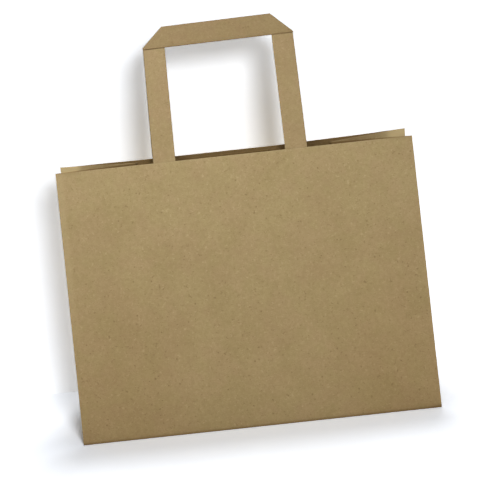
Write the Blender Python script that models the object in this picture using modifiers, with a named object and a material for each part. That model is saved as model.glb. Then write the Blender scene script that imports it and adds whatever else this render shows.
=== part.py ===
"""Paper carrier bag with flat handles: a kraft block-bottom bag with folded side gussets, two
folded tape handles and the two strips that hold them inside the mouth.

Metres, +Z up. The bag stands on z = 0 with its mouth open, the front panel faces -Y, and x = 0
and y = 0 are the middle of the base.
"""

import math

import bpy
import bmesh
from mathutils import Vector

# Bag body, measured on its outer faces
WIDTH = 0.320
DEPTH = 0.155
PANEL_HEIGHT = 0.243
MOUTH_DEPTH = 0.043
PAPER = 0.00015

# Side gussets: where their creases meet above the base, and where the fold ends at the mouth,
# behind the front edge and below the rim. The side folds are this wide, not knife edges
GUSSET_APEX_HEIGHT = 0.062
FOLD_TIP_BEHIND_FRONT = 0.0136
FOLD_TIP_DROP = 0.0005
SIDE_FOLD = 0.0010

# Rear panel: it bows into the mouth, and keeps the crease at which the bag was folded flat
REAR_BOW = 0.0125
REAR_BOW_POWER = 1.8
CREASE_HEIGHT = 0.085
CREASE_INSET = 0.0015

# Glued laps: the flaps of the base over each other, and the upright seam of the sheet
FLAP_LAP = 0.015
SEAM_LAP = 0.018
PLY_STEP = 0.9 * PAPER
SEAM_STEP = 0.6 * PAPER

# Handles: folded tape, its corners turned at 45 degrees
TAPE_WIDTH = 0.0198
TAPE = 0.0007
TAPE_FOLD_GAP = 0.0003
HANDLE_HEIGHT = 0.1274
HANDLE_TAIL = 0.045
HANDLE_TILT = 0.0154
FRONT_HANDLE_X = -0.0035
REAR_HANDLE_X = -0.0042
FRONT_SPAN = 0.1379
REAR_SPAN = 0.1410
FRONT_HANDLE_LEAN = math.radians(22.6)
REAR_HANDLE_LEAN = math.radians(24.6)
BEND_LENGTH = 0.012

# Strips glued inside the mouth over the ends of the handles
PATCH_WIDTH = 0.156
PATCH_HEIGHT = 0.050
PATCH_DROP = 0.003
PATCH_SLOPE = 0.003
PATCH_PAPER = 0.00015
GLUE_GAP = 0.0003

# How finely the sheet is divided
ROWS_BELOW_CREASE = 2
ROWS_ABOVE_CREASE = 4
BOW_COLUMNS = 5
FOLD_STEPS = 4
BEND_STEPS = 4

# Worked out from the sizes above
HALF_WIDTH = WIDTH / 2
HALF_DEPTH = DEPTH / 2
LEAN = math.asin((DEPTH - MOUTH_DEPTH) / 2 / PANEL_HEIGHT)
RIM = PANEL_HEIGHT * math.cos(LEAN)
FLAP_LENGTH = HALF_DEPTH + FLAP_LAP
FOLD_TIP_INSET = math.sqrt(HALF_DEPTH ** 2 - (MOUTH_DEPTH / 2) ** 2)
APEX_INSET = math.sqrt(HALF_DEPTH ** 2 - GUSSET_APEX_HEIGHT ** 2)
FLAT_HALF = PATCH_WIDTH / 2 + max(abs(FRONT_HANDLE_X), abs(REAR_HANDLE_X))


def clear_scene():
    for item in list(bpy.data.objects):
        bpy.data.objects.remove(item, do_unlink=True)


def paper_material(name, color, roughness):
    material = bpy.data.materials.new(name)
    material.use_nodes = True
    shader = material.node_tree.nodes["Principled BSDF"]
    shader.inputs["Base Color"].default_value = (*color, 1.0)
    shader.inputs["Roughness"].default_value = roughness
    shader.inputs["Metallic"].default_value = 0.0
    return material


def new_object(name, mesh_builder, material=None):
    mesh = bpy.data.meshes.new(name)
    item = bpy.data.objects.new(name, mesh)
    bpy.context.scene.collection.objects.link(item)
    bm = bmesh.new()
    mesh_builder(bm)
    bm.to_mesh(mesh)
    bm.free()
    if material:
        mesh.materials.append(material)
    return item


def thicken(item, thickness, offset):
    """Gives an open sheet its thickness: offset -1 grows it behind the faces, 0 to both sides."""
    solidify = item.modifiers.new("paper", "SOLIDIFY")
    solidify.thickness = thickness
    solidify.offset = offset
    solidify.use_even_offset = True
    solidify.use_rim = True


def helper_collection():
    helpers = bpy.data.collections.new("glued_layers")
    bpy.context.scene.collection.children.link(helpers)
    helpers.hide_render = True
    return helpers


def join_layer(body, layer, helpers):
    """Fuses a glued layer of the same sheet to the body."""
    for owner in list(layer.users_collection):
        owner.objects.unlink(layer)
    helpers.objects.link(layer)
    layer.hide_render = True
    layer.display_type = "WIRE"
    union = body.modifiers.new(layer.name, "BOOLEAN")
    union.operation = "UNION"
    union.solver = "EXACT"
    union.object = layer


# The folded sheet

def wall_heights():
    """Heights of the rows of the sheet, from the base to the rim, with one on the rear crease."""
    foot = PLY_STEP / 2
    below = [foot + (CREASE_HEIGHT - foot) * i / ROWS_BELOW_CREASE for i in range(ROWS_BELOW_CREASE)]
    rise = RIM - CREASE_HEIGHT
    above = [CREASE_HEIGHT + rise * i / ROWS_ABOVE_CREASE for i in range(ROWS_ABOVE_CREASE + 1)]
    return below + above


def front_y(z):
    return -HALF_DEPTH + z * math.tan(LEAN)


def bow_profile(x):
    """1 across the flat middle of the rear panel, falling to 0 at its side edges."""
    beyond = max(0.0, abs(x) - FLAT_HALF) / (HALF_WIDTH - FLAT_HALF)
    return 1.0 - min(1.0, beyond) ** REAR_BOW_POWER


def rear_y(x, z):
    if z < CREASE_HEIGHT:
        crease = z / CREASE_HEIGHT
    else:
        crease = (RIM - z) / (RIM - CREASE_HEIGHT)
    bow = REAR_BOW * z / RIM + CREASE_INSET * crease
    return -front_y(z) - bow * bow_profile(x)


def rear_columns():
    """Places across the rear panel, from +x to -x, with one on the edge of the glued seam."""
    seam = HALF_WIDTH - SEAM_LAP
    curved = [FLAT_HALF + (seam - FLAT_HALF) * i / (BOW_COLUMNS - 1) for i in range(BOW_COLUMNS)]
    outer = curved + [(seam + HALF_WIDTH) / 2, HALF_WIDTH]
    return outer[::-1] + [-x for x in outer]


def add_strips(bm, rows):
    """Joins rows of points, each as long as the next, with triangles cut the same way."""
    for lower, upper in zip(rows, rows[1:]):
        for i in range(len(lower) - 1):
            bm.faces.new((lower[i], lower[i + 1], upper[i + 1]))
            bm.faces.new((lower[i], upper[i + 1], upper[i]))


def gusset_fold(bm, side, count):
    """Points of the inward crease of a gusset, from its apex up to the tip at the mouth."""
    apex = Vector((side * (HALF_WIDTH - APEX_INSET), 0, GUSSET_APEX_HEIGHT))
    behind = front_y(RIM) + FOLD_TIP_BEHIND_FRONT
    tip = Vector((side * (HALF_WIDTH - FOLD_TIP_INSET), behind, RIM - FOLD_TIP_DROP))
    return [bm.verts.new(apex.lerp(tip, i / (count - 1))) for i in range(count)]


def build_walls(bm):
    heights = wall_heights()
    front = [[bm.verts.new((x, front_y(z), z)) for x in (-HALF_WIDTH, HALF_WIDTH)] for z in heights]
    rear = [[bm.verts.new((x, rear_y(x, z), z)) for x in rear_columns()] for z in heights]
    add_strips(bm, front)
    add_strips(bm, rear)
    for side, front_end, rear_end in ((1, 1, 0), (-1, 0, -1)):
        fold = gusset_fold(bm, side, len(heights))
        front_edge = [row[front_end] for row in front]
        rear_edge = [row[rear_end] for row in rear]
        front_turn = [bm.verts.new(point.co + Vector((0, SIDE_FOLD, 0))) for point in front_edge]
        rear_turn = [bm.verts.new(point.co - Vector((0, SIDE_FOLD, 0))) for point in rear_edge]
        bm.faces.new((front_turn[0], rear_turn[0], fold[0]))
        add_strips(bm, list(zip(front_edge, front_turn, fold)))
        add_strips(bm, list(zip(fold, rear_turn, rear_edge)))
    bmesh.ops.recalc_face_normals(bm, faces=bm.faces)
    bm.normal_update()
    front_face = min(bm.faces, key=lambda face: face.calc_center_median().y)
    if front_face.normal.y > 0:
        bmesh.ops.reverse_faces(bm, faces=bm.faces)


def build_seam(bm):
    """The glued lap of the sheet, inside the rear panel beside its +x edge."""
    columns = [x for x in rear_columns() if x >= HALF_WIDTH - SEAM_LAP - PAPER]
    rows = [[bm.verts.new((x, rear_y(x, z) - SEAM_STEP, z)) for x in columns] for z in wall_heights()]
    for row in rows:
        row[0].co = row[0].co.lerp(row[1].co, PAPER / (columns[0] - columns[1]))
    add_strips(bm, rows)
    bm.normal_update()
    if bm.faces[:][0].normal.y < 0:
        bmesh.ops.reverse_faces(bm, faces=bm.faces)


def flap_outline(side):
    """A long flap of the base, with ends cut back at 45 degrees: side -1 front, 1 rear."""
    hinge = side * HALF_DEPTH
    edge = -side * FLAP_LAP
    end = HALF_WIDTH - FLAP_LENGTH
    return [(-HALF_WIDTH, hinge), (HALF_WIDTH, hinge), (end, edge), (-end, edge)]


def tuck_outline(side):
    """An end of the base, folded in under both long flaps: side -1 left, 1 right."""
    outer = side * HALF_WIDTH
    inner = side * (HALF_WIDTH - FLAP_LENGTH)
    return [(outer, -HALF_DEPTH), (outer, HALF_DEPTH), (inner, HALF_DEPTH), (inner, -HALF_DEPTH)]


def base_layer(name, outline, bottom):
    def build(bm):
        face = bm.faces.new([bm.verts.new((x, y, bottom + PAPER)) for x, y in outline])
        face.normal_update()
        if face.normal.z < 0:
            face.normal_flip()

    layer = new_object(name, build)
    thicken(layer, PAPER, -1)
    return layer


def make_body(helpers):
    kraft = paper_material("kraft_body", (0.42, 0.31, 0.165), 0.8)
    body = new_object("bag_body", build_walls, kraft)
    thicken(body, PAPER, -1)
    join_layer(body, base_layer("front_flap", flap_outline(-1), 0.0), helpers)
    join_layer(body, base_layer("rear_flap", flap_outline(1), PLY_STEP), helpers)
    for name, side in (("left_tuck", -1), ("right_tuck", 1)):
        join_layer(body, base_layer(name, tuck_outline(side), 2 * PLY_STEP), helpers)
    seam = new_object("seam", build_seam)
    thicken(seam, PAPER, -1)
    join_layer(body, seam, helpers)


# Handles and the strips over their ends

class MouthSide:
    """Places on the inside of one panel at the mouth, and on the handle that rises from it.

    u runs along X from the middle of the handle, v up the panel from the rim, and n from the
    panel's outer face into the bag. Above the rim, v follows the handle's own lean.
    """

    def __init__(self, side, handle_x, handle_lean):
        if side < 0:
            foot = Vector((0, front_y(CREASE_HEIGHT), CREASE_HEIGHT))
            rim = Vector((0, front_y(RIM), RIM))
        else:
            foot = Vector((0, rear_y(0, CREASE_HEIGHT), CREASE_HEIGHT))
            rim = Vector((0, rear_y(0, RIM), RIM))
        self.rim = rim + Vector((handle_x, 0, 0))
        self.up = (rim - foot).normalized()
        self.inward = Vector((0, -side * self.up.z, side * self.up.y))
        self.panel_lean = math.atan2(self.up.y, self.up.z)
        self.handle_lean = handle_lean

    def lean_at(self, v):
        turned = min(max(v / BEND_LENGTH, 0.0), 1.0)
        return self.panel_lean + (self.handle_lean - self.panel_lean) * turned

    def place(self, u, v, n):
        point = self.rim + Vector((u, 0, 0)) + self.inward * n
        if v <= 0:
            return point + self.up * v
        step = min(v, BEND_LENGTH) / BEND_STEPS
        for i in range(BEND_STEPS):
            lean = self.lean_at(step * (i + 0.5))
            point += Vector((0, math.sin(lean), math.cos(lean))) * step
        beyond = max(0.0, v - BEND_LENGTH)
        return point + Vector((0, math.sin(self.handle_lean), math.cos(self.handle_lean))) * beyond


LEG_DEPTH = PAPER + GLUE_GAP + TAPE / 2
FOLD_RADIUS = (TAPE + TAPE_FOLD_GAP) / 2


def leg_heights():
    bend = [BEND_LENGTH * i / BEND_STEPS for i in range(BEND_STEPS + 1)]
    return [-HANDLE_TAIL] + bend


def tilted(u, v):
    """The height of a point of the handle, whose bar rises a little towards +x."""
    return v * (1 + HANDLE_TILT * u / HANDLE_HEIGHT) if v > 0 else v


def tape_rows(span):
    """Edges across the tape as pairs of (u, v, n), from the foot of one leg to that of the other.

    Each corner is a half turn about a crease at 45 degrees, which lays the bar in front of the
    legs.
    """
    outer = span / 2
    inner = outer - TAPE_WIDTH
    shoulder = HANDLE_HEIGHT - TAPE_WIDTH
    leg = [((-outer, v, LEG_DEPTH), (-inner, v, LEG_DEPTH)) for v in leg_heights()]
    corner = []
    for i in range(FOLD_STEPS + 1):
        turn = math.pi * i / FOLD_STEPS
        bulge = FOLD_RADIUS * math.sin(turn) * math.sqrt(0.5)
        depth = LEG_DEPTH - FOLD_RADIUS * (1 - math.cos(turn))
        low = (-outer - bulge, shoulder + bulge, depth)
        high = (-inner - bulge, HANDLE_HEIGHT + bulge, depth)
        corner.append((low, high))
    half = leg + corner
    rows = half + [tuple((-u, v, n) for u, v, n in edge) for edge in reversed(half)]
    return [[(u, tilted(u, v), n) for u, v, n in edge] for edge in rows]


def make_handle(name, mouth, span, material):
    def build(bm):
        rows = []
        for edge in tape_rows(span):
            rows.append([bm.verts.new(mouth.place(*point)) for point in edge])
        add_strips(bm, rows)

    handle = new_object(name, build, material)
    thicken(handle, TAPE, 0)


def patch_section(span):
    """(u, n) of the middle of the strip: low on the panel, and raised over both legs."""
    low = PAPER + GLUE_GAP + PATCH_PAPER / 2
    high = LEG_DEPTH + TAPE / 2 + GLUE_GAP + PATCH_PAPER / 2
    outer = span / 2 + GLUE_GAP
    inner = span / 2 - TAPE_WIDTH - GLUE_GAP
    half = [
        (PATCH_WIDTH / 2, low),
        (outer + PATCH_SLOPE, low),
        (outer, high),
        (inner, high),
        (inner - PATCH_SLOPE, low),
    ]
    return [(-u, n) for u, n in half] + half[::-1]


def make_patch(name, mouth, span, material):
    def build(bm):
        rows = []
        for v in (-PATCH_DROP - PATCH_HEIGHT, -PATCH_DROP):
            rows.append([bm.verts.new(mouth.place(u, v, n)) for u, n in patch_section(span)])
        add_strips(bm, rows)

    patch = new_object(name, build, material)
    thicken(patch, PATCH_PAPER, 0)


def main():
    clear_scene()
    make_body(helper_collection())
    front = MouthSide(-1, FRONT_HANDLE_X, FRONT_HANDLE_LEAN)
    rear = MouthSide(1, REAR_HANDLE_X, REAR_HANDLE_LEAN)
    make_handle("front_handle", front, FRONT_SPAN, paper_material("front_tape", (0.40, 0.29, 0.155), 0.75))
    make_handle("rear_handle", rear, REAR_SPAN, paper_material("rear_tape", (0.40, 0.29, 0.155), 0.75))
    make_patch("front_handle_patch", front, FRONT_SPAN, paper_material("front_patch", (0.44, 0.33, 0.18), 0.8))
    make_patch("rear_handle_patch", rear, REAR_SPAN, paper_material("rear_patch", (0.44, 0.33, 0.18), 0.8))


main()
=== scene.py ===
import math

import bpy
import bmesh
from mathutils import Matrix, Vector, noise


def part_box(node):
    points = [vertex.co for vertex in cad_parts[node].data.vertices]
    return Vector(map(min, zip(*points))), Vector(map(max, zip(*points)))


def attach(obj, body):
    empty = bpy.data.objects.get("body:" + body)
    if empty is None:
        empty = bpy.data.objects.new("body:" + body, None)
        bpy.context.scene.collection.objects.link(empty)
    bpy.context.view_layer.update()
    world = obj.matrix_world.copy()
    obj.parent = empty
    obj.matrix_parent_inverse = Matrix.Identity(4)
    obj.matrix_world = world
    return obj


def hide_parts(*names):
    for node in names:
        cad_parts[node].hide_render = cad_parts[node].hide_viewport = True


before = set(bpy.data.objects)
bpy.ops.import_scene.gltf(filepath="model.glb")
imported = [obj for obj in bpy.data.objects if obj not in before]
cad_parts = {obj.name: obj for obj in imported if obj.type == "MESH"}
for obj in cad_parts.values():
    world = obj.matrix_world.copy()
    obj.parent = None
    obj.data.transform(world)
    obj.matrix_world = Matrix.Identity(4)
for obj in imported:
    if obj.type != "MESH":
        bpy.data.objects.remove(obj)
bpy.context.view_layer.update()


# BAG BODY
# One tube of brown kraft paper, glued along a seam inside the rear panel and folded into a flat
# front, a bowed rear and two inward side gussets. Its foot is folded and glued to a block bottom.

body_low, body_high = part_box("bag_body")
HALF_WIDTH = (body_high.x - body_low.x) / 2
HALF_DEPTH = (body_high.y - body_low.y) / 2
RIM = body_high.z
MOUTH_DEPTH = 0.043
LEAN = math.atan((HALF_DEPTH - MOUTH_DEPTH / 2) / RIM)
PAPER = 0.00022

SIDE_FOLD_RADIUS = 0.0005
CREASE_RADIUS = 0.0005
CREASE_REACH = 0.0025
FOOT_RADIUS = 0.0006
DIAGONAL_START = 0.0015
APEX_HEIGHT = 0.062
APEX_INSET = math.sqrt(HALF_DEPTH ** 2 - APEX_HEIGHT ** 2)
TIP_BEHIND_FRONT = 0.0136
TIP_INSET = math.sqrt(HALF_DEPTH ** 2 - (MOUTH_DEPTH / 2) ** 2)

REAR_BOW = 0.0125
REAR_BOW_POWER = 1.8
FLAT_HALF = 0.0822
REAR_CREASE = 0.085
REAR_CREASE_INSET = 0.0015

# How far the rear rim stands back and higher at its right end, and forward and lower at its left
RIGHT_BACK = 0.0040
LEFT_FORWARD = 0.0040
RIGHT_RISE = 0.0006
LEFT_DROP = 0.0004
RIGHT_END = (0.03, 0.10)
LEFT_END = (0.11, 0.155)

RISE_START = RIM - 0.05

SEAM_LAP = 0.018
SEAM_RIDGE = 0.0001
SEAM_SLOPE = 0.0012
SEAM_FADE = 0.004
BASE_LIFT = 0.0007
LIFT_END = 0.004

# Waves of the paper: how high they stand, how many to a metre across and up, and the width over
# which they fade out beside a fold
RIPPLE = 0.00022
LOOSE_RIPPLE = 0.0004
BROAD_WAVES = (13, 10)
FINE_WAVES = (34, 27)
FINE_SHARE = 0.35
STILL_EDGE = 0.03
STILL_FOLD = 0.02

# How finely the sheet is divided, and how near its first division lies to a fold
FOLD_POINTS = 7
HALF_POINTS = 20
CREASE_POINTS = 24
NEAR_FOLD = 0.0008
FIRST_COLUMN = -0.1560
COLUMN_STEP = 0.0040
COLUMNS = 79
EDGE_COLUMN = 0.0010
LOW_ROWS = [FOOT_RADIUS, 0.0014, 0.0028, 0.0050, 0.0080]
FIRST_ROW = 0.012
ROW_STEP = 0.004
ROWS = 56
ROW_CLEARANCE = 0.0015
REAR_CREASE_ROW = 0.0009
FOOT_STEPS = 3
BASE_INSETS = [
    HALF_DEPTH, 0.066, 0.054, 0.042, 0.030, 0.020, 0.012, 0.007, 0.004, 0.0022, 0.0012]
MERGE_DISTANCE = 0.000002


def smooth(value, start, end):
    """0 before the start and 1 after the end, with a soft step between."""
    t = min(1.0, max(0.0, (value - start) / (end - start)))
    return t * t * (3 - 2 * t)


def near(distance, width):
    """1 on a line, falling away to almost 0 at twice this width from it."""
    return math.exp(-((distance / width) ** 2))


def spread(length, count, close):
    """Fractions from 0 to 1 across a face, the first and last of them close to the folds."""
    end = min(close / max(length, 1e-6), 0.2)
    return [0.0] + [end + (1 - 2 * end) * i / (count - 2) for i in range(count - 1)] + [1.0]


def front_y(z):
    """Depth of the front panel's outer face at height z."""
    return -HALF_DEPTH + z * math.tan(LEAN)


def bow_profile(x):
    """1 across the flat middle of the rear panel, falling to 0 at its side edges."""
    beyond = max(0.0, abs(x) - FLAT_HALF) / (HALF_WIDTH - FLAT_HALF)
    return 1.0 - min(1.0, beyond) ** REAR_BOW_POWER


def rear_shift(x, right, left):
    """The rear panel's unevenness at the mouth: more at its right end, and less at its left."""
    return right * smooth(x, *RIGHT_END) - left * smooth(-x, *LEFT_END)


def rear_y(x, z):
    """Depth of the rear panel's outer face, which is creased across, bowed in and uneven."""
    if z < REAR_CREASE:
        crease = max(0.0, z) / REAR_CREASE
    else:
        crease = (RIM - z) / (RIM - REAR_CREASE)
    bow = REAR_BOW * z / RIM + REAR_CREASE_INSET * crease
    uneven = rear_shift(x, RIGHT_BACK, LEFT_FORWARD) * (z / RIM) ** 2
    return -front_y(z) - bow * bow_profile(x) + uneven


def ripple(x, z, sheet, amount=RIPPLE):
    """The gentle waves of a sheet, fading out at its side folds and at the foot."""
    still = smooth(HALF_WIDTH - abs(x), 0.0, STILL_EDGE) * smooth(z, 0.0, STILL_EDGE)
    broad = noise.noise(Vector((x * BROAD_WAVES[0], sheet * 7.3, z * BROAD_WAVES[1])))
    fine = noise.noise(Vector((x * FINE_WAVES[0], sheet * 3.1 + 5, z * FINE_WAVES[1])))
    return amount * still * (broad + FINE_SHARE * fine)


def fold_line(centre, toward):
    """Heading of the line that leaves a fold's circle, turning left, for the next crease."""
    reach = toward - centre
    return math.atan2(reach.y, reach.x) + math.asin(min(1.0, SIDE_FOLD_RADIUS / reach.length))


def on_circle(centre, heading, radius):
    return centre + Vector((math.sin(heading), -math.cos(heading))) * radius


def half_gusset(edge_y, crease):
    """From a panel's side fold, at depth edge_y, to its crease: x, y and distance to a fold."""
    centre = Vector((HALF_WIDTH - SIDE_FOLD_RADIUS, edge_y + SIDE_FOLD_RADIUS))
    heading = fold_line(centre, crease)
    points = []
    for i in range(1, FOLD_POINTS + 1):
        place = on_circle(centre, heading * i / FOLD_POINTS, SIDE_FOLD_RADIUS)
        points.append((place.x, place.y, 0.0))
    start = on_circle(centre, heading, SIDE_FOLD_RADIUS)
    length = (crease - start).length
    for t in spread(length, HALF_POINTS, NEAR_FOLD)[1:-1]:
        place = start.lerp(crease, t)
        points.append((place.x, place.y, length * min(t, 1 - t)))
    return points


def crease_points(before, crease_front, crease_rear, after):
    """The inward crease: a tight curve above the gusset's triangle, and its width below."""
    gap = (crease_rear - crease_front).length
    if gap > 2 * CREASE_RADIUS:
        steps = spread(gap, CREASE_POINTS, NEAR_FOLD)
        places = [crease_front.lerp(crease_rear, t) for t in steps]
        return [
            (p.x, p.y, min((p - crease_front).length, (p - crease_rear).length)) for p in places]
    middle = (crease_front + crease_rear) / 2
    into, out = (before - middle).normalized(), (after - middle).normalized()
    half_angle = math.acos(max(-1.0, min(1.0, into.dot(out)))) / 2
    tangent = min(CREASE_RADIUS / math.tan(half_angle), CREASE_REACH)
    first, last = middle + into * tangent, middle + out * tangent
    points = []
    for i in range(CREASE_POINTS + 1):
        t = i / CREASE_POINTS
        place = first * (1 - t) ** 2 + middle * 2 * t * (1 - t) + last * t ** 2
        points.append((place.x, place.y, 0.0))
    return points


def gusset(z, side):
    """One side at height z, front panel's fold to rear panel's, drawn as the +x side."""
    corner = Vector((HALF_WIDTH, -HALF_DEPTH + DIAGONAL_START))
    apex = Vector((HALF_WIDTH - APEX_INSET, 0.0))
    tip = Vector((HALF_WIDTH - TIP_INSET, front_y(RIM) + TIP_BEHIND_FRONT))
    if z < APEX_HEIGHT:
        front_crease = corner.lerp(apex, z / APEX_HEIGHT)
        rear_crease = Vector((front_crease.x, -front_crease.y))
    else:
        front_crease = apex.lerp(tip, (z - APEX_HEIGHT) / (RIM - APEX_HEIGHT))
        rear_crease = front_crease
    front_half = half_gusset(front_y(z), front_crease)
    mirrored = Vector((rear_crease.x, -rear_crease.y))
    rear_half = half_gusset(-rear_y(side * HALF_WIDTH, z), mirrored)
    rear_half = [(x, -y, d) for x, y, d in rear_half][::-1]
    before = Vector(front_half[-1][:2])
    after = Vector(rear_half[0][:2])
    middle = crease_points(before, front_crease, rear_crease, after)
    start = Vector(middle[0][:2])
    front_half = [p for p in front_half if (Vector(p[:2]) - start).length > 0]
    return front_half + middle + rear_half


def panel_columns():
    edge = HALF_WIDTH - SIDE_FOLD_RADIUS
    inner = [FIRST_COLUMN + COLUMN_STEP * i for i in range(COLUMNS)]
    return [-edge, -edge + EDGE_COLUMN] + inner + [edge - EDGE_COLUMN, edge]


def body_loop(z):
    """The whole tube at height z from above, left to right along the front: x, y, distance to a
    fold, and which face it is."""
    columns = panel_columns()
    loop = [(x, front_y(z) - ripple(x, z, 0), HALF_WIDTH - abs(x), "front") for x in columns]
    for x, y, distance in gusset(z, 1):
        wave = ripple(x, z, 2, LOOSE_RIPPLE) * smooth(distance, 0.0, STILL_FOLD)
        loop.append((x - wave, y, distance, "gusset"))
    for x in reversed(columns):
        ridge = SEAM_RIDGE * smooth(x, HALF_WIDTH - SEAM_LAP - SEAM_SLOPE, HALF_WIDTH - SEAM_LAP)
        ridge *= smooth(HALF_WIDTH - x, 0.0, SEAM_FADE)
        y = rear_y(x, z) + ridge + ripple(x, z, 1, LOOSE_RIPPLE)
        loop.append((x, y, HALF_WIDTH - abs(x), "rear"))
    for x, y, distance in reversed(gusset(z, -1)):
        wave = ripple(x, z, 3, LOOSE_RIPPLE) * smooth(distance, 0.0, STILL_FOLD)
        loop.append((wave - x, y, distance, "gusset"))
    return loop


# Wear of 1 is a fold that is rubbed pale. Above that is painted light: the mouth's corners are
# painted paler still, where the rear gussets catch the light.
RUB_WIDTH = 0.0010
RIM_RUB = 0.0006
RUBBED_ABOVE = (0.001, 0.004)
REAR_CREASE_WEAR = 0.8
REAR_CREASE_WIDTH = 0.0011
# Painted light: the mouth's corners, where the rear gussets catch the light, are painted pale
LEFT_CORNER_LIGHT = 3.2
RIGHT_CORNER_LIGHT = 2.6
CORNER_HEIGHT = (RIM - 0.016, RIM - 0.005)
CORNER_INSET = (0.010, 0.030)
# A paler band along the left fold, over its upper part
LEFT_FOLD_PALE = 1.1
LEFT_FOLD_INSET = (0.0035, 0.007)
LEFT_FOLD_HEIGHT = (0.07, 0.14)


def rubbed_and_lit(x, z, distance, face):
    """How far the paper is made pale: rubbed pale at its folds and rim, and with painted light at
    the mouth's corners.
    """
    nearest = min(distance, z, 0.5 * (RIM - z) + RIM_RUB)
    wear_and_light = near(nearest, RUB_WIDTH) * smooth(z, *RUBBED_ABOVE)
    inset = HALF_WIDTH - abs(x)
    if face == "rear":
        wear_and_light = max(wear_and_light, REAR_CREASE_WEAR * near(z - REAR_CREASE, REAR_CREASE_WIDTH))
    elif face == "gusset":
        # Painted light at the mouth's corners, where the rear gussets catch the light
        corner = smooth(z, *CORNER_HEIGHT) * (1 - smooth(inset, *CORNER_INSET))
        wear_and_light = max(wear_and_light, corner * (LEFT_CORNER_LIGHT if x < 0 else RIGHT_CORNER_LIGHT))
    elif x < 0:
        fold = LEFT_FOLD_PALE * (1 - smooth(inset, *LEFT_FOLD_INSET))
        wear_and_light = max(wear_and_light, fold * smooth(z, *LEFT_FOLD_HEIGHT))
    return wear_and_light


# Shade of 1 is the darkest that the paper gets, along its foot; these amounts paint shade on the
# paper
# Painted shade: a dark line at the rounded foot and a softer darkening just above it
FOOT_SHADE = 0.75
FOOT_SHADE_HEIGHT = 0.0017
LOW_SHADE = 0.12
LOW_SHADE_HEIGHT = 0.006
# Painted shade at the foot's right-hand corner
RIGHT_FOOT_SHADE = 0.35
RIGHT_FOOT_SHADE_HEIGHT = 0.004
RIGHT_FOOT_SHADE_FROM = (0.145, 0.158)
MOUTH_SHADE = 0.45
MOUTH_SHADE_HEIGHT = (RIM - 0.030, RIM - 0.010)
MOUTH_SHADE_INSET = (0.015, 0.050)
# Painted shadow: a dark line along the front rim near both ends, beside the gussets
RIM_END_SHADE = 0.5
RIM_END_SHADE_HEIGHT = 0.0007
RIM_END_SHADE_FROM = (0.120, 0.150)
BASE_WEAR = 0.4
BASE_WEAR_INSET = 0.002
# The base is darker towards its edges
BASE_DARKENING = 0.4
BASE_DARKENING_INSET = 0.003
# Painted shade on the foot's rounded fold
FOOT_FOLD_SHADE = 0.6


def painted_shade_amount(x, z, face):
    """How much shade is painted on the paper: along the foot, at the rim's ends and down in the
    mouth.
    """
    dark = FOOT_SHADE * near(z, FOOT_SHADE_HEIGHT) + LOW_SHADE * math.exp(-z / LOW_SHADE_HEIGHT)
    dark += RIGHT_FOOT_SHADE * smooth(x, *RIGHT_FOOT_SHADE_FROM) * near(z, RIGHT_FOOT_SHADE_HEIGHT)
    if face == "gusset":
        inset = HALF_WIDTH - abs(x)
        dark += MOUTH_SHADE * smooth(z, *MOUTH_SHADE_HEIGHT) * smooth(inset, *MOUTH_SHADE_INSET)
    elif face == "front":
        dark += RIM_END_SHADE * near(RIM - z, RIM_END_SHADE_HEIGHT) * smooth(abs(x), *RIM_END_SHADE_FROM)
    return min(dark, 1.0)


def wall_rows():
    """Heights of the walls' rows, closer at the foot, at the creases and at the rim."""
    rising = [FIRST_ROW + ROW_STEP * i for i in range(ROWS)]
    creases = [
        APEX_HEIGHT - NEAR_FOLD, APEX_HEIGHT, APEX_HEIGHT + NEAR_FOLD,
        REAR_CREASE - REAR_CREASE_ROW, REAR_CREASE, REAR_CREASE + REAR_CREASE_ROW,
        RIM - NEAR_FOLD, RIM]
    clear = [z for z in rising if all(abs(z - c) > ROW_CLEARANCE for c in creases)]
    return sorted(LOW_ROWS + clear + creases)


def body_rows():
    """Every row of the sheet, from the middle of the base round the foot and up to the rim."""
    foot = body_loop(FOOT_RADIUS)
    rows = []
    for inset in BASE_INSETS:
        z = BASE_LIFT * smooth(inset, FOOT_RADIUS, LIFT_END)
        scale_x, scale_y = 1 - inset / HALF_WIDTH, 1 - inset / HALF_DEPTH
        wear_and_light = BASE_WEAR * math.exp(-inset / BASE_WEAR_INSET)
        darkening = BASE_DARKENING * math.exp(-inset / BASE_DARKENING_INSET)
        rows.append([((x * scale_x, y * scale_y, z), wear_and_light, darkening) for x, y, _, _ in foot])
    for step in range(FOOT_STEPS, 0, -1):
        turn = math.pi / 2 * step / FOOT_STEPS
        inset = FOOT_RADIUS * (1 - math.cos(turn))
        z = FOOT_RADIUS * (1 - math.sin(turn))
        scale_x, scale_y = 1 - inset / HALF_WIDTH, 1 - inset / HALF_DEPTH
        rows.append([((x * scale_x, y * scale_y, z), 0.0, FOOT_FOLD_SHADE) for x, y, _, _ in foot])
    for z in wall_rows():
        row = []
        for x, y, distance, face in body_loop(z):
            rise = rear_shift(x, RIGHT_RISE, LEFT_DROP) * smooth(z, RISE_START, RIM)
            rise *= smooth(y, front_y(RIM), -front_y(RIM))
            row.append(((x, y, z + rise), rubbed_and_lit(x, z, distance, face), painted_shade_amount(x, z, face)))
        rows.append(row)
    return rows


def new_piece(name, mesh):
    """An object for this mesh, at the origin, in the scene."""
    piece = bpy.data.objects.new(name, mesh)
    bpy.context.scene.collection.objects.link(piece)
    return piece


def set_smooth(mesh):
    mesh.polygons.foreach_set("use_smooth", [True] * len(mesh.polygons))


def evaluated_mesh(piece):
    """The piece's mesh with its modifiers made real."""
    bpy.context.view_layer.update()
    graph = bpy.context.evaluated_depsgraph_get()
    mesh = bpy.data.meshes.new_from_object(piece.evaluated_get(graph), depsgraph=graph)
    piece.modifiers.clear()
    old = piece.data
    piece.data = mesh
    bpy.data.meshes.remove(old)
    set_smooth(mesh)
    return mesh


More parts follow.
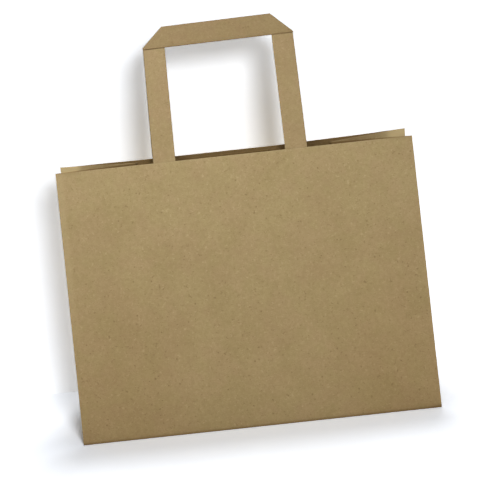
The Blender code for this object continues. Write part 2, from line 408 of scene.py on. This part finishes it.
def make_sheet_mesh(name, rows, closed):
    """A mesh of quads between rows of (place, wear_and_light, shade), both kept as attributes."""
    bm = bmesh.new()
    layers = [bm.verts.layers.float.new(layer) for layer in ("wear_and_light", "shade")]
    grid = []
    for row in rows:
        line = []
        for place, *amounts in row:
            vertex = bm.verts.new(place)
            for layer, amount in zip(layers, amounts):
                vertex[layer] = amount
            line.append(vertex)
        grid.append(line)
    for lower, upper in zip(grid, grid[1:]):
        count = len(lower)
        for i in range(count if closed else count - 1):
            j = (i + 1) % count
            bm.faces.new((lower[i], lower[j], upper[j], upper[i]))
    bmesh.ops.remove_doubles(bm, verts=bm.verts, dist=MERGE_DISTANCE)
    mesh = bpy.data.meshes.new(name)
    bm.to_mesh(mesh)
    bm.free()
    return mesh


class Socket:
    """A node's output, so that shader maths can be written as Python expressions."""

    def __init__(self, finish, output):
        self.finish = finish
        self.output = output

    def math(self, operation, first, second):
        return self.finish.node("Math", {"operation": operation}, {0: first, 1: second})

    def __add__(self, other):
        return self.math("ADD", self, other)

    def __radd__(self, other):
        return self.math("ADD", other, self)

    def __sub__(self, other):
        return self.math("SUBTRACT", self, other)

    def __rsub__(self, other):
        return self.math("SUBTRACT", other, self)

    def __mul__(self, other):
        return self.math("MULTIPLY", self, other)

    def __rmul__(self, other):
        return self.math("MULTIPLY", other, self)


class Finish:
    """The nodes that a material, or the surround, is built from."""

    def __init__(self, owner):
        owner.use_nodes = True
        self.owner = owner
        self.tree = owner.node_tree

    def node(self, kind, settings, sockets, output=0):
        """Adds one shader node: settings first, then each socket's value or link."""
        made = self.tree.nodes.new("ShaderNode" + kind)
        for name, value in settings.items():
            setattr(made, name, value)
        for name, value in sockets.items():
            self.feed(made.inputs[name], value)
        return Socket(self, made.outputs[output])

    def feed(self, socket, value):
        if isinstance(value, Socket):
            self.tree.links.new(value.output, socket)
        else:
            socket.default_value = value

    def mix(self, blend, factor, first, second):
        settings = {"data_type": "RGBA", "blend_type": blend, "clamp_factor": True}
        return self.node("Mix", settings, {0: factor, 6: first, 7: second}, output=2)

    def band(self, value, low, high):
        """0 below low and 1 above high, with a smooth step between."""
        sockets = {"Value": value, "From Min": low, "From Max": high}
        return self.node("MapRange", {"interpolation_type": "SMOOTHSTEP"}, sockets)


def kraft(name, colour, fibres=1.0, paling=1.0, painted_foot_shade=True):
    """Unbleached kraft paper: cloudy pulp, short pale and dark fibres, folds rubbed pale, and
    painted light and shade from the mesh's attributes.
    """
    finish = Finish(bpy.data.materials.new(name))
    shader = finish.tree.nodes["Principled BSDF"]
    place = finish.node("TexCoord", {}, {}, output="Object")

    def pulp(scale, detail, turn=(0, 0, 0), stretch=(1, 1, 1), shift=(0, 0, 0)):
        sockets = {"Vector": place, "Location": shift, "Rotation": turn, "Scale": stretch}
        turned = finish.node("Mapping", {}, sockets)
        sockets = {"Vector": turned, "Scale": scale, "Detail": detail, "Roughness": 0.6}
        return finish.node("TexNoise", {}, sockets)

    def tint(red, green, blue):
        return (colour[0] * red, colour[1] * green, colour[2] * blue, 1)

    cloud = pulp(30, 5)
    warm = pulp(48, 2, shift=(4, 4, 4))
    streak = pulp(1, 4, turn=(0, 0.06, 0), stretch=(300, 300, 95), shift=(2, 5, 1))
    grain = pulp(760, 3)
    mottle = pulp(300, 3, shift=(7, 1, 3))
    dark_fibre = finish.band(
        pulp(1, 1, turn=(0.3, 0.5, 0.2), stretch=(500, 500, 1300)), 0.66, 0.76)
    pale_fibre = finish.band(
        pulp(1, 1, turn=(0.2, -0.9, 0.1), stretch=(420, 460, 1200), shift=(3, 1, 7)), 0.64, 0.75)
    pale_speck = finish.band(pulp(330, 2, shift=(1, 4, 2)), 0.60, 0.74)
    dark_speck = finish.band(pulp(350, 2, shift=(6, 2, 9)), 0.61, 0.75)
    bent = finish.node("VectorMath", {"operation": "MULTIPLY_ADD"}, {
        0: finish.node("TexNoise", {}, {"Vector": place, "Scale": 900.0}, output="Color"),
        1: (0.0012, 0.0012, 0.0012), 2: place})
    cells = {"Vector": bent, "Scale": 190.0}
    spot = finish.node("TexVoronoi", {}, cells, output="Distance")
    chance = finish.node("SeparateColor", {}, {
        "Color": finish.node("TexVoronoi", {}, cells, output="Color")})
    fleck = (1 - finish.band(spot, 0.05, 0.24)) * finish.band(chance, 0.87, 0.96)
    wear_and_light = finish.node("Attribute", {"attribute_name": "wear_and_light"}, {}, output="Fac")
    shade = finish.node("Attribute", {"attribute_name": "shade"}, {}, output="Fac")

    dark = tint(0.50, 0.43, 0.34)
    pale = tint(1.32, 1.36, 1.50)
    painted_light = tint(1.66, 1.72, 1.86)
    shade_colour = tint(0.42, 0.34, 0.26)
    tone = finish.mix(
        "MIX", finish.band(cloud, 0.30, 0.70),
        tint(0.955, 0.948, 0.93), tint(1.065, 1.075, 1.10))
    tone = finish.mix("MULTIPLY", 1.0, tone, finish.mix(
        "MIX", finish.band(warm, 0.35, 0.65),
        (0.985, 1.0, 0.96, 1), (1.02, 0.985, 1.02, 1)))
    tone = finish.mix("MIX", finish.band(streak, 0.30, 0.70) * 0.35, tone, tint(1.08, 1.09, 1.12))
    tone = finish.mix("MULTIPLY", 1.0, tone, finish.mix(
        "MIX", finish.band(mottle, 0.36, 0.64),
        (0.955, 0.950, 0.940, 1), (1.04, 1.045, 1.055, 1)))
    tone = finish.mix("MIX", finish.band(grain, 0.35, 0.65) * 0.30, tone, tint(0.82, 0.79, 0.74))
    for mask, strength, over in (
            (pale_fibre, 0.50 * fibres, pale), (pale_speck, 0.50 * fibres, pale),
            (dark_fibre, 0.50 * fibres, dark), (dark_speck, 0.46 * fibres, dark),
            (fleck, 0.60 * fibres, dark), (wear_and_light, 0.30 * paling, pale)):
        tone = finish.mix("MIX", mask * strength, tone, over)
    # Painted light: amounts above 1.2 paint the mouth's corners paler still
    tone = finish.mix("MIX", finish.band(wear_and_light, 1.2, 3.0), tone, painted_light)
    # Painted shade: the shade attribute darkens the paper at the foot, the rim's ends, down in the
    # mouth and along the grip's lower edge; it also darkens the grip and the base's edges
    tone = finish.mix("MIX", shade, tone, shade_colour)
    if painted_foot_shade:
        # Painted shade: the sheet is painted a little darker and browner towards its foot, less so
        # in the middle
        height = finish.node("SeparateXYZ", {}, {"Vector": place}, output="Z")
        sideways = finish.node("SeparateXYZ", {}, {"Vector": place}, output="X")
        middle = 1 - finish.band(sideways * sideways, 0.0, 0.013)
        low = (1 - finish.band(height, -0.04, 0.24)) * (1 - 0.5 * middle)
        tone = finish.mix("MULTIPLY", low, tone, (0.915, 0.858, 0.800, 1))
    finish.feed(shader.inputs["Base Color"], tone)
    finish.feed(shader.inputs["Roughness"], 0.72 + 0.18 * grain)
    shader.inputs["Specular IOR Level"].default_value = 0.25
    relief = grain * 0.5 + streak * 0.3 + pale_fibre * 0.4 - dark_fibre * 0.3
    sockets = {"Strength": 0.35, "Distance": 0.00022, "Height": relief}
    finish.feed(shader.inputs["Normal"], finish.node("Bump", {}, sockets))
    return finish.owner


KRAFT = (0.378, 0.282, 0.134)
# Painted shade: the inside is a darker copy of the kraft, for the shadow inside the bag
KRAFT_INSIDE_SHADED = (0.225, 0.146, 0.056)

kraft_outside = kraft("kraft_outside", KRAFT)
kraft_inside_shaded = kraft("kraft_inside_shaded", KRAFT_INSIDE_SHADED, paling=0.3, painted_foot_shade=False)

shell = new_piece("bag_shell", make_sheet_mesh("bag_shell", body_rows(), closed=True))
shell.data.materials.append(kraft_outside)
shell.data.materials.append(kraft_inside_shaded)
thickness = shell.modifiers.new("paper", "SOLIDIFY")
thickness.thickness = PAPER
thickness.offset = -1
thickness.use_even_offset = False
thickness.use_rim = True
thickness.material_offset = 1
evaluated_mesh(shell)
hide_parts("bag_body")
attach(shell, "root")


# GLUED LAYERS OF THE BAG
# The parts of the same sheet that lie on it and are glued down: two long flaps under the base,
# their ends cut back at 45 degrees, and the upright lap of the side seam.

FLAP_LAP = 0.015
LAYER = 0.00018
REAR_FLAP_HEIGHT = 0.00022
FLAP_RISE = 0.03
HINGE_INSET = 0.0004
FLAP_SIDE_INSET = 0.0006
FLAP_WEAR = 0.7
LAYER_WEAR_WIDTH = 0.0009


def add_group_node(tree, kind, settings=None, **links):
    """A Geometry Nodes node, its settings first and then its sockets by name."""
    made = tree.nodes.new(kind)
    for name, value in (settings or {}).items():
        setattr(made, name, value)
    for name, value in links.items():
        socket = made.inputs[name.replace("_", " ")]
        if isinstance(value, bpy.types.NodeSocket):
            tree.links.new(value, socket)
        else:
            socket.default_value = value
    return made


def make_ply_tree():
    """Stacks plies of paper on an open sheet, each a closed solid that follows its faces."""
    tree = bpy.data.node_groups.new("paper_plies", "GeometryNodeTree")
    tree.interface.new_socket("Geometry", in_out="INPUT", socket_type="NodeSocketGeometry")
    tree.interface.new_socket("Plies", in_out="INPUT", socket_type="NodeSocketInt")
    tree.interface.new_socket("Ply Thickness", in_out="INPUT", socket_type="NodeSocketFloat")
    tree.interface.new_socket("Ply Pitch", in_out="INPUT", socket_type="NodeSocketFloat")
    tree.interface.new_socket("Material", in_out="INPUT", socket_type="NodeSocketMaterial")
    tree.interface.new_socket("Geometry", in_out="OUTPUT", socket_type="NodeSocketGeometry")
    given = tree.nodes.new("NodeGroupInput").outputs
    result = tree.nodes.new("NodeGroupOutput")

    def arithmetic(operation, first, second):
        node = tree.nodes.new("ShaderNodeMath")
        node.operation = operation
        for socket, value in zip(node.inputs, (first, second)):
            if isinstance(value, bpy.types.NodeSocket):
                tree.links.new(value, socket)
            else:
                socket.default_value = value
        return node.outputs[0]

    normal = tree.nodes.new("GeometryNodeInputNormal").outputs["Normal"]
    kept = {"data_type": "FLOAT_VECTOR", "domain": "POINT"}
    sheet = add_group_node(
        tree, "GeometryNodeStoreNamedAttribute", kept,
        Geometry=given["Geometry"], Name="sheet_normal", Value=normal)
    whole = add_group_node(
        tree, "GeometryNodeGeometryToInstance", Geometry=sheet.outputs["Geometry"])
    copies = add_group_node(
        tree, "GeometryNodeDuplicateElements", {"domain": "INSTANCE"},
        Geometry=whole.outputs["Instances"], Amount=given["Plies"])
    numbered = add_group_node(
        tree, "GeometryNodeStoreNamedAttribute", {"data_type": "INT", "domain": "INSTANCE"},
        Geometry=copies.outputs["Geometry"], Name="ply",
        Value=copies.outputs["Duplicate Index"])
    plies = add_group_node(
        tree, "GeometryNodeRealizeInstances", Geometry=numbered.outputs["Geometry"])
    ply = add_group_node(
        tree, "GeometryNodeInputNamedAttribute", {"data_type": "INT"}, Name="ply")
    outward = add_group_node(
        tree, "GeometryNodeInputNamedAttribute", {"data_type": "FLOAT_VECTOR"},
        Name="sheet_normal").outputs["Attribute"]
    middle = arithmetic("MULTIPLY", arithmetic("SUBTRACT", given["Plies"], 1.0), 0.5)
    number = arithmetic("SUBTRACT", ply.outputs["Attribute"], middle)
    height = arithmetic(
        "SUBTRACT", arithmetic("MULTIPLY", number, given["Ply Pitch"]),
        arithmetic("MULTIPLY", given["Ply Thickness"], 0.5))
    lift = tree.nodes.new("ShaderNodeVectorMath")
    lift.operation = "SCALE"
    tree.links.new(outward, lift.inputs[0])
    tree.links.new(height, lift.inputs["Scale"])
    stacked = add_group_node(
        tree, "GeometryNodeSetPosition",
        Geometry=plies.outputs["Geometry"], Offset=lift.outputs[0])
    top = add_group_node(
        tree, "GeometryNodeExtrudeMesh", {"mode": "FACES"}, Mesh=stacked.outputs["Geometry"],
        Offset=outward, Offset_Scale=given["Ply Thickness"], Individual=False)
    bottom = add_group_node(
        tree, "GeometryNodeFlipFaces", Mesh=stacked.outputs["Geometry"])
    joined = tree.nodes.new("GeometryNodeJoinGeometry")
    tree.links.new(top.outputs["Mesh"], joined.inputs[0])
    tree.links.new(bottom.outputs["Mesh"], joined.inputs[0])
    closed = add_group_node(
        tree, "GeometryNodeMergeByDistance", Geometry=joined.outputs["Geometry"],
        Distance=MERGE_DISTANCE)
    real = add_group_node(
        tree, "GeometryNodeRealizeInstances", Geometry=closed.outputs["Geometry"])
    painted = add_group_node(
        tree, "GeometryNodeSetMaterial", Geometry=real.outputs["Geometry"],
        Material=given["Material"])
    tree.links.new(painted.outputs["Geometry"], result.inputs["Geometry"])
    return tree


ply_tree = make_ply_tree()


def make_paper(name, rows, material, plies=1, thickness=LAYER, pitch=0.0):
    """A piece of paper or tape from rows of (place, wear_and_light), given its plies by the node
    tree.
    """
    mesh = make_sheet_mesh(name, rows, closed=False)
    mesh.materials.append(material)
    piece = new_piece(name, mesh)
    modifier = piece.modifiers.new("plies", "NODES")
    modifier.node_group = ply_tree
    values = {"Plies": plies, "Ply Thickness": thickness, "Ply Pitch": pitch, "Material": material}
    for socket in ply_tree.interface.items_tree:
        if socket.in_out == "INPUT" and socket.name in values:
            modifier[socket.identifier] = values[socket.name]
    made = evaluated_mesh(piece)
    for kept in ("sheet_normal", "ply"):
        attribute = made.attributes.get(kept)
        if attribute:
            made.attributes.remove(attribute)
    return piece


def flap_rows(side):
    """A long flap of the base as seen from below: side -1 front, 1 rear."""
    hinge = HALF_DEPTH - HINGE_INSET
    length = hinge + FLAP_LAP
    rows = []
    for step in spread(length, 24, NEAR_FOLD):
        inset = length * step
        y = side * (hinge - inset)
        half = HALF_WIDTH - FLAP_SIDE_INSET - inset
        z = 0.0 if side < 0 else REAR_FLAP_HEIGHT * smooth(inset, 0.0, FLAP_RISE)
        row = []
        for t in spread(2 * half, 40, NEAR_FOLD):
            x = -half + 2 * half * t
            edge = min(half - abs(x), length - inset)
            row.append(((x, y, z + LAYER / 2), FLAP_WEAR * near(edge, LAYER_WEAR_WIDTH)))
        rows.append(row if side > 0 else row[::-1])
    return rows


for name, side in (("front_base_flap", -1), ("rear_base_flap", 1)):
    flap = make_paper(name, flap_rows(side), kraft_outside)
    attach(flap, "root")


SEAM_FOOT = 0.002
SEAM_HEIGHT = RIM - 0.0025
SEAM_ROWS = 48
SEAM_WIDTH = SEAM_LAP - 0.0016
SEAM_GLUE = 0.00003
SEAM_WEAR = 0.5
NEAR_EDGE = 0.0006


def seam_rows():
    """The inner ply of the seam, from its free edge to the side fold, inside the rear panel."""
    free = HALF_WIDTH - SEAM_LAP
    rows = []
    for z in [SEAM_FOOT + SEAM_HEIGHT * i / SEAM_ROWS for i in range(SEAM_ROWS + 1)]:
        row = []
        for t in spread(SEAM_WIDTH, 8, NEAR_EDGE):
            x = free + SEAM_WIDTH * t
            y = rear_y(x, z) + ripple(x, z, 1, LOOSE_RIPPLE) - PAPER - LAYER / 2 - SEAM_GLUE
            row.append(((x, y, z), SEAM_WEAR * near(x - free, LAYER_WEAR_WIDTH)))
        rows.append(row)
    return rows


seam = make_paper("glued_seam", seam_rows(), kraft_inside_shaded)
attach(seam, "root")


# TAPE HANDLES
# Each is a flat tape of kraft paper folded to three plies. It runs up one leg, turns over at 45
# degrees, crosses as the grip, turns again and runs down; both ends hang inside the mouth.

TAPE_WIDTH = 0.0198
TAPE = 0.0007
TAPE_PLY = 0.00021
TAPE_FOLD_GAP = 0.0003
HANDLE_HEIGHT = 0.1263
HANDLE_TAIL = 0.045
HANDLE_TILT = 0.0154
HANDLE_TAPER = 0.012
BEND_LENGTH = 0.012
BEND_STEPS = 8
GLUE_GAP = 0.0003
CAD_PAPER = 0.00015
LEG_DEPTH = CAD_PAPER + GLUE_GAP + TAPE / 2
TURN_RADIUS = (TAPE + TAPE_FOLD_GAP) / 2
TAIL_STEPS = 10
LEG_STEPS = 20
TURN_STEPS = 10
BAR_STEPS = 26
ACROSS_TAPE = (0.0, 0.05, 0.2, 0.4, 0.6, 0.8, 0.95, 1.0)
TAPE_WAVE = 0.0003
TAPE_LOOSE = 0.05
TAPE_EDGE = 0.0007
TURNED_SHADE = 0.22
EDGE_SHADE = 0.50


def panel_y(side, x, z):
    """Depth of the outer face of the front panel, side -1, or of the rear one."""
    return front_y(z) if side < 0 else rear_y(x, z)


class MouthSide:
    """Places on the inside of one panel at the mouth, and on the handle that rises from it.

    u runs along X from the middle of the handle, v up the panel from the rim, and n from the
    panel's outer face into the bag. Above the rim, v follows the handle's own lean.
    """

    def __init__(self, side, handle_x, handle_lean):
        foot = Vector((0, panel_y(side, 0, REAR_CREASE), REAR_CREASE))
        rim = Vector((0, panel_y(side, 0, RIM), RIM))
        self.sheet = 0 if side < 0 else 1
        self.sheet_ripple = RIPPLE if side < 0 else LOOSE_RIPPLE
        self.side = side
        self.rim = rim + Vector((handle_x, 0, 0))
        self.up = (rim - foot).normalized()
        self.inward = Vector((0, -side * self.up.z, side * self.up.y))
        self.panel_lean = math.atan2(self.up.y, self.up.z)
        self.handle_lean = handle_lean

    def lean_at(self, v):
        turned = min(max(v / BEND_LENGTH, 0.0), 1.0)
        return self.panel_lean + (self.handle_lean - self.panel_lean) * turned

    def place(self, u, v, n):
        point = self.rim + Vector((u, 0, 0)) + self.inward * n
        wave = ripple(self.rim.x + u, min(RIM, RIM + v), self.sheet, self.sheet_ripple)
        point += Vector((0, self.side * wave * (1 - smooth(v, 0.0, STILL_FOLD)), 0))
        if self.side > 0:
            level = min(RIM, RIM + v)
            point += Vector((0, rear_y(self.rim.x + u, level) - rear_y(0, level), 0))
        if v <= 0:
            return point + self.up * v
        step = min(v, BEND_LENGTH) / BEND_STEPS
        for i in range(BEND_STEPS):
            lean = self.lean_at(step * (i + 0.5))
            point += Vector((0, math.sin(lean), math.cos(lean))) * step
        beyond = max(0.0, v - BEND_LENGTH)
        lean = self.handle_lean
        return point + Vector((0, math.sin(lean), math.cos(lean))) * beyond


def tape_edges(span):
    """The tape's two edges as pairs of (u, v, n), from one leg's foot to the other's."""
    outer, inner = span / 2, span / 2 - TAPE_WIDTH
    shoulder = HANDLE_HEIGHT - TAPE_WIDTH
    tail = [-HANDLE_TAIL + HANDLE_TAIL * i / TAIL_STEPS for i in range(TAIL_STEPS)]
    bend = [BEND_LENGTH * i / BEND_STEPS for i in range(BEND_STEPS + 1)]
    half = [((-outer, v, LEG_DEPTH), (-inner, v, LEG_DEPTH)) for v in tail + bend]
    for i in range(1, LEG_STEPS):
        t = i / LEG_STEPS
        low = BEND_LENGTH + (shoulder - BEND_LENGTH) * t
        high = BEND_LENGTH + (HANDLE_HEIGHT - BEND_LENGTH) * t
        half.append(((-outer, low, LEG_DEPTH), (-inner, high, LEG_DEPTH)))
    for i in range(TURN_STEPS + 1):
        turn = math.pi * i / TURN_STEPS
        bulge = TURN_RADIUS * math.sin(turn) * math.sqrt(0.5)
        depth = LEG_DEPTH - TURN_RADIUS * (1 - math.cos(turn))
        low = (-outer - bulge, shoulder + bulge, depth)
        high = (-inner - bulge, HANDLE_HEIGHT + bulge, depth)
        half.append((low, high))
    mirrored = [tuple((-u, v, n) for u, v, n in edge) for edge in reversed(half)]
    left, right = half[-1], mirrored[0]
    bar = []
    for i in range(1, BAR_STEPS):
        t = i / BAR_STEPS
        bar.append(tuple(
            tuple(a + (b - a) * t for a, b in zip(p, q)) for p, q in zip(left, right)))
    return half + bar + mirrored


def tape_rows(mouth, span, seed):
    """The tape's rows from one end to the other, each from its outer edge to its inner one."""
    rows = []
    for low, high in tape_edges(span):
        row = []
        for t in ACROSS_TAPE:
            u, v, n = (a + (b - a) * t for a, b in zip(low, high))
            loose = smooth(v, BEND_LENGTH, TAPE_LOOSE)
            wave = TAPE_WAVE * loose * noise.noise(Vector((u * 30, v * 22, seed)))
            if v > 0:
                v *= 1 + HANDLE_TILT * u / HANDLE_HEIGHT
                u *= 1 - HANDLE_TAPER * v / HANDLE_HEIGHT
            edge = TAPE_WIDTH * min(t, 1 - t)
            turned = smooth(LEG_DEPTH - n, 0.0, 2 * TURN_RADIUS)
            shade = turned * (TURNED_SHADE + EDGE_SHADE * near(TAPE_WIDTH * t, TAPE_EDGE))
            wear_and_light = (1 - turned) * near(edge, TAPE_EDGE)
            row.append((mouth.place(u, v, n + wave), wear_and_light, shade))
        rows.append(row)
    return rows


FRONT_MOUTH = MouthSide(-1, -0.0030, math.radians(22.6))
REAR_MOUTH = MouthSide(1, -0.0035, math.radians(24.6))
FRONT_SPAN, REAR_SPAN = 0.1379, 0.1410
TAPE_COLOUR = (0.366, 0.267, 0.130)

tape_kraft = kraft("tape_kraft", TAPE_COLOUR, fibres=0.8, paling=0.5, painted_foot_shade=False)

for name, node, slot, mouth, span, seed in (
        ("front_tape_handle", "front_handle", "front_tape", FRONT_MOUTH, FRONT_SPAN, 3.0),
        ("rear_tape_handle", "rear_handle", "rear_tape", REAR_MOUTH, REAR_SPAN, 8.0)):
    handle = make_paper(
        name, tape_rows(mouth, span, seed), tape_kraft, plies=3, thickness=TAPE_PLY,
        pitch=(TAPE - TAPE_PLY) / 2)
    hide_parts(node)
    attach(handle, "root")


# STRIPS OVER THE HANDLE ENDS
# A strip of kraft paper is glued inside each panel at the mouth. It lies flat on the panel and
# rises over the two tape ends that it holds.

PATCH_WIDTH = 0.156
PATCH_HEIGHT = 0.050
PATCH_DROP = 0.003
PATCH_SLOPE = 0.003
PATCH_PAPER = 0.00015
PATCH_WAVE = 0.00008
PATCH_WEAR = 0.8
PATCH_WEAR_WIDTH = 0.0008


def strip_depth(u, span):
    """How far the strip stands off the panel's outer face: low, and raised over both legs."""
    low = CAD_PAPER + GLUE_GAP + PATCH_PAPER / 2
    high = LEG_DEPTH + TAPE / 2 + GLUE_GAP + PATCH_PAPER / 2
    beside = abs(abs(u) - (span - TAPE_WIDTH) / 2) - TAPE_WIDTH / 2 - GLUE_GAP
    return high + (low - high) * smooth(beside, 0.0, PATCH_SLOPE)


def strip_rows(mouth, span, seed):
    """The strip's rows from its lower edge to its upper one."""
    rows = []
    for t in spread(PATCH_HEIGHT, 14, NEAR_FOLD):
        v = -PATCH_DROP - PATCH_HEIGHT * (1 - t)
        row = []
        for s in spread(PATCH_WIDTH, 130, NEAR_EDGE):
            u = -PATCH_WIDTH / 2 + PATCH_WIDTH * s
            wave = PATCH_WAVE * noise.noise(Vector((u * 60, v * 70, seed)))
            edge = min(PATCH_WIDTH / 2 - abs(u), PATCH_HEIGHT * min(t, 1 - t))
            place = mouth.place(u, v, strip_depth(u, span) + wave)
            row.append((place, PATCH_WEAR * near(edge, PATCH_WEAR_WIDTH)))
        rows.append(row)
    return rows


# Painted shade: the strips are painted much darker than the kraft, for the shadow inside the mouth
STRIP_SHADED_COLOUR = (0.190, 0.118, 0.042)

strip_kraft_shaded = kraft("strip_kraft_shaded", STRIP_SHADED_COLOUR, paling=0.3, painted_foot_shade=False)

for name, node, slot, mouth, span, seed in (
        ("front_glued_strip", "front_handle_patch", "front_patch", FRONT_MOUTH, FRONT_SPAN, 1.0),
        ("rear_glued_strip", "rear_handle_patch", "rear_patch", REAR_MOUTH, REAR_SPAN, 6.0)):
    strip = make_paper(name, strip_rows(mouth, span, seed), strip_kraft_shaded, thickness=PATCH_PAPER)
    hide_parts(node)
    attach(strip, "root")


# STAGE
# A pale floor under the bag and a pale backdrop behind it, which take its soft shadow. The
# backdrop is square to the camera, and from behind it is clear.

CAMERA_PLACE = Vector((0.0000, -1.2127, 0.4161))
CAMERA_YAW = math.radians(-0.122)
CAMERA_PITCH = math.radians(12.200)
CAMERA_ROLL = math.radians(-6.176)
FOCAL_PIXELS = 1348.5
FRAME_PIXELS = 480

BACKDROP_BEHIND = 0.080
BACKDROP_REACH = 1.5
FLOOR_REACH = 4.0
STAGE_GREY = (0.8, 0.8, 0.8, 1)
SEEN_TINT = (0.96, 1.0, 1.07)
GLOW_WIDTH = 0.35
BEHIND_WIDTH = 0.03

ahead = Vector((
    math.sin(CAMERA_YAW) * math.cos(CAMERA_PITCH),
    math.cos(CAMERA_YAW) * math.cos(CAMERA_PITCH),
    -math.sin(CAMERA_PITCH)))
level = Vector((math.cos(CAMERA_YAW), -math.sin(CAMERA_YAW), 0))
upright = level.cross(ahead)
camera_right = level * math.cos(CAMERA_ROLL) + upright * math.sin(CAMERA_ROLL)
camera_up = upright * math.cos(CAMERA_ROLL) - level * math.sin(CAMERA_ROLL)


def seen_plainly(finish):
    """1 for what the camera sees, also in a mirror or through glass, and 0 for other light."""
    seen = finish.node("LightPath", {}, {}, output="Is Camera Ray")
    for ray in ("Is Glossy Ray", "Is Transmission Ray"):
        seen = seen.math("MAXIMUM", seen, finish.node("LightPath", {}, {}, output=ray))
    return seen


def stage_paper(name, seen_white, glow_near, glow_from, glow_behind, see_through):
    """Pale matt paper. Seen by the camera it is this white, and glows white away from the bag.
    The floor behind the backdrop, which shades it, glows by glow_behind."""
    finish = Finish(bpy.data.materials.new(name))
    seen = seen_plainly(finish)
    bright = (*(part * seen_white for part in SEEN_TINT), 1)
    colour = finish.mix("MIX", seen, STAGE_GREY, bright)
    paper = finish.node("BsdfDiffuse", {}, {"Color": colour})
    place = finish.node("TexCoord", {}, {}, output="Object")
    away = finish.node("VectorMath", {"operation": "LENGTH"}, {0: place}, output="Value")
    depth = finish.node("SeparateXYZ", {}, {"Vector": place}, output="Y")
    behind = finish.band(depth, BACKDROP_BEHIND, BACKDROP_BEHIND + BEHIND_WIDTH)
    glow = glow_near + behind * glow_behind + finish.band(away, glow_from, glow_from + GLOW_WIDTH)
    glow = glow * seen
    light = finish.node("Emission", {}, {"Color": (1, 1, 1, 1), "Strength": glow})
    surface = finish.node("AddShader", {}, {0: paper, 1: light})
    if see_through:
        from_behind = finish.node("NewGeometry", {}, {}, output="Backfacing")
        clear = finish.node("BsdfTransparent", {}, {})
        surface = finish.node("MixShader", {}, {0: from_behind, 1: surface, 2: clear})
    finish.feed(finish.tree.nodes["Material Output"].inputs["Surface"], surface)
    finish.tree.nodes.remove(finish.tree.nodes["Principled BSDF"])
    return finish.owner


def stage_sheet(name, corners, material):
    mesh = bpy.data.meshes.new(name)
    mesh.from_pydata([tuple(c) for c in corners], [], [tuple(range(len(corners)))])
    mesh.materials.append(material)
    sheet = new_piece(name, mesh)
    return sheet


floor_paper = stage_paper(
    "floor_paper", seen_white=1.44, glow_near=0.03, glow_from=0.32, glow_behind=0.25,
    see_through=False)
floor_corners = [
    (-FLOOR_REACH, -FLOOR_REACH, 0), (FLOOR_REACH, -FLOOR_REACH, 0),
    (FLOOR_REACH, FLOOR_REACH, 0), (-FLOOR_REACH, FLOOR_REACH, 0)]
floor = stage_sheet("floor", floor_corners, floor_paper)

backdrop_paper = stage_paper(
    "backdrop_paper", seen_white=1.74, glow_near=0.27, glow_from=0.50, glow_behind=0.0,
    see_through=True)
backdrop_foot = Vector((0, BACKDROP_BEHIND, 0))
aside, rise = level * BACKDROP_REACH, upright * BACKDROP_REACH
backdrop_corners = [
    backdrop_foot - aside, backdrop_foot + aside,
    backdrop_foot + aside + rise, backdrop_foot - aside + rise]
backdrop = stage_sheet("backdrop", backdrop_corners, backdrop_paper)
backdrop.visible_shadow = False


# LIGHT AND CAMERA
# Soft studio light: a main lamp up and to the right of the camera, one over the front, two behind,
# one for the floor, and an even white surround. The camera has the photograph's place and lens.

SURROUND_LIGHT = 0.07
SENSOR_WIDTH = 36.0
BAG_FRONT = (0, -0.04, 0.17)


def add_lamp(name, place, aim, size, power):
    """A round soft lamp at this place, turned to what it is aimed at and not seen itself."""
    lamp = bpy.data.lights.new(name, "AREA")
    lamp.shape = "DISK"
    lamp.size = size
    lamp.energy = power
    item = bpy.data.objects.new(name, lamp)
    bpy.context.scene.collection.objects.link(item)
    item.location = place
    item.rotation_euler = (Vector(aim) - Vector(place)).to_track_quat("-Z", "Y").to_euler()
    item.visible_camera = False
    return item


add_lamp("main_lamp", (0.30, -1.71, 0.69), BAG_FRONT, size=0.34, power=12.0)
top_lamp = add_lamp("top_lamp", (-0.18, -0.40, 0.64), BAG_FRONT, size=0.34, power=1.74)
add_lamp("back_lamp", (0.08, 0.86, 2.10), (0, -0.06, 0.05), size=0.52, power=17.5)
rear_lamp = add_lamp(
    "rear_lamp", (-0.40, 1.80, 0.75), (0, 0.05, 0.15), size=0.60, power=5.0)
floor_lamp = add_lamp("floor_lamp", (0.24, -1.20, 1.30), (-0.1, 0, 0), size=0.34, power=7.0)


def light_only(lamp, name, state, items):
    """Limits a lamp to these items, or with the state EXCLUDE keeps it off them."""
    group = bpy.data.collections.new(name)
    for item in items:
        group.objects.link(item)
    for member in group.collection_objects:
        member.light_linking.link_state = state
    lamp.light_linking.receiver_collection = group


light_only(top_lamp, "stage_without_top_lamp", "EXCLUDE", (backdrop, floor))
light_only(rear_lamp, "stage_without_rear_lamp", "EXCLUDE", (backdrop, floor))
light_only(floor_lamp, "floor_with_floor_lamp", "INCLUDE", (floor,))

world = bpy.data.worlds.new("surround")
bpy.context.scene.world = world
surround = Finish(world)
white = surround.node("MapRange", {}, {
    "Value": seen_plainly(surround), "To Min": SURROUND_LIGHT, "To Max": 1.0})
background = surround.tree.nodes["Background"]
background.inputs["Color"].default_value = (1, 1, 1, 1)
surround.feed(background.inputs["Strength"], white)

camera = bpy.data.objects.new("camera", bpy.data.cameras.new("camera"))
bpy.context.scene.collection.objects.link(camera)
camera.data.sensor_width = SENSOR_WIDTH
camera.data.lens = FOCAL_PIXELS * SENSOR_WIDTH / FRAME_PIXELS
axes = Matrix((camera_right, camera_up, -ahead)).transposed()
camera.matrix_world = Matrix.Translation(CAMERA_PLACE) @ axes.to_4x4()
bpy.context.scene.camera = camera

bpy.context.scene.view_settings.view_transform = "Standard"
